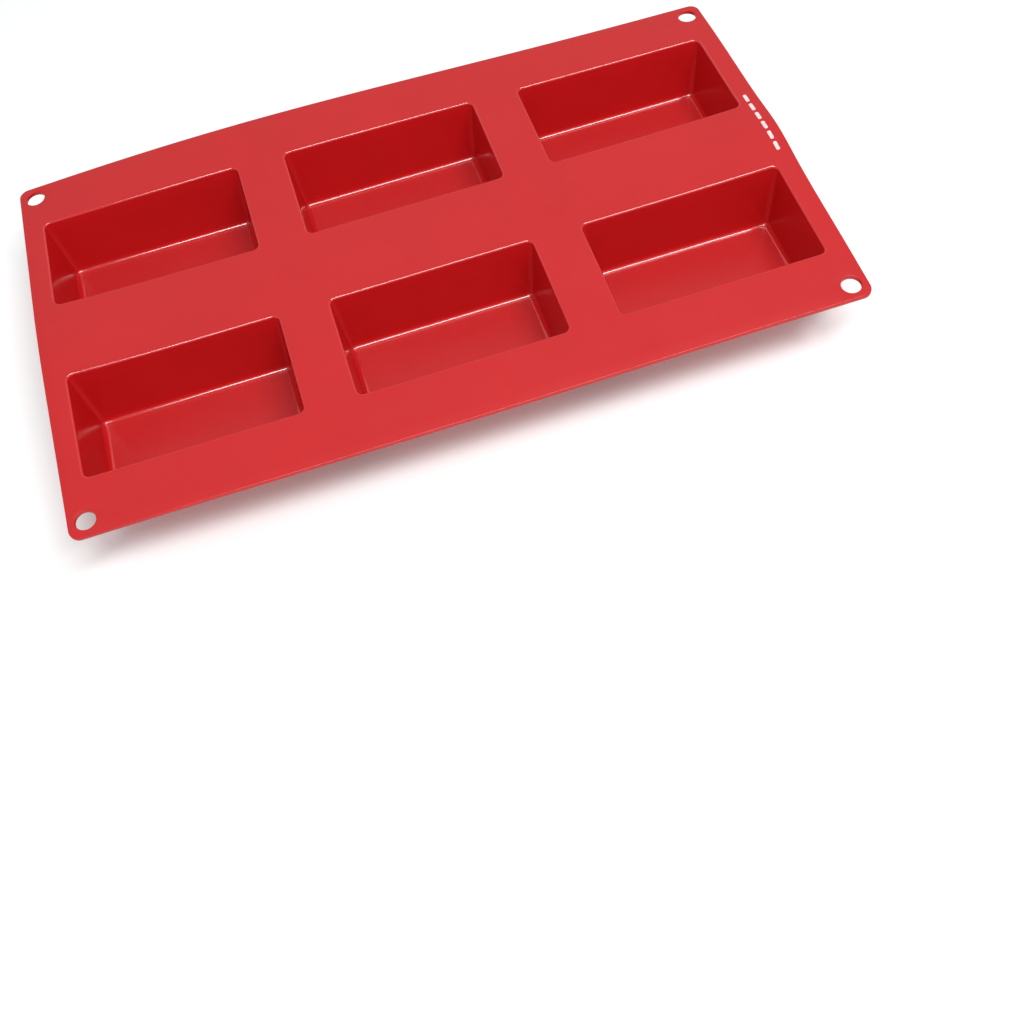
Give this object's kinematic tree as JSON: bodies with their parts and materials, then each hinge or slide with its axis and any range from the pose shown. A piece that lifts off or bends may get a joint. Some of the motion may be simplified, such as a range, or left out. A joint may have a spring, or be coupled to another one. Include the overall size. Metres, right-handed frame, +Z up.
{
  "type": "soap loaf mould",
  "caption": "Flexible silicone tray of small loaf-shaped cups for casting soap, with a stiffened border and corner holes to hang it by.",
  "frame": {"origin": "middle of the footprint, on the plane that the cup bottoms stand on", "axes": "+X along the tray's length towards the printed mark, +Y across the tray to the back row, +Z up out of the cups' mouths"},
  "size_m": [0.3, 0.175, 0.0302],
  "materials": {
    "silicone_satin": "satin",
    "silicone_glossy": "gloss",
    "print_ink": "matte"
  },
  "bodies": {
    "centre_column": {"centre_deck": "silicone_satin", "left_flex_web": "silicone_satin", "right_flex_web": "silicone_satin", "front_centre_cup": "silicone_glossy", "back_centre_cup": "silicone_glossy", "front_centre_rib": "silicone_satin", "back_centre_rib": "silicone_satin"},
    "left_column": {"left_deck": "silicone_satin", "front_left_cup": "silicone_glossy", "back_left_cup": "silicone_glossy", "front_left_rib": "silicone_satin", "back_left_rib": "silicone_satin", "left_end_rib": "silicone_satin", "front_left_eyelet": "silicone_satin", "back_left_eyelet": "silicone_satin"},
    "right_column": {"right_deck": "silicone_satin", "front_right_cup": "silicone_glossy", "back_right_cup": "silicone_glossy", "front_right_rib": "silicone_satin", "back_right_rib": "silicone_satin", "right_end_rib": "silicone_satin", "front_right_eyelet": "silicone_satin", "back_right_eyelet": "silicone_satin", "print_mark": "print_ink"}
  },
  "joints": [
    {"name": "left_flex", "type": "hinge", "parent": "centre_column", "child": "left_column", "pos_m": [-0.0505, 0, 0.02937], "axis": [0, 1, 0], "range_deg": [-35, 60], "stiffness_Nm_per_rad": 0.01, "deforming": ["left_flex_web"]},
    {"name": "right_flex", "type": "hinge", "parent": "centre_column", "child": "right_column", "pos_m": [0.0505, 0, 0.02937], "axis": [0, -1, 0], "range_deg": [-35, 60], "stiffness_Nm_per_rad": 0.01, "deforming": ["right_flex_web"]}
  ]
}
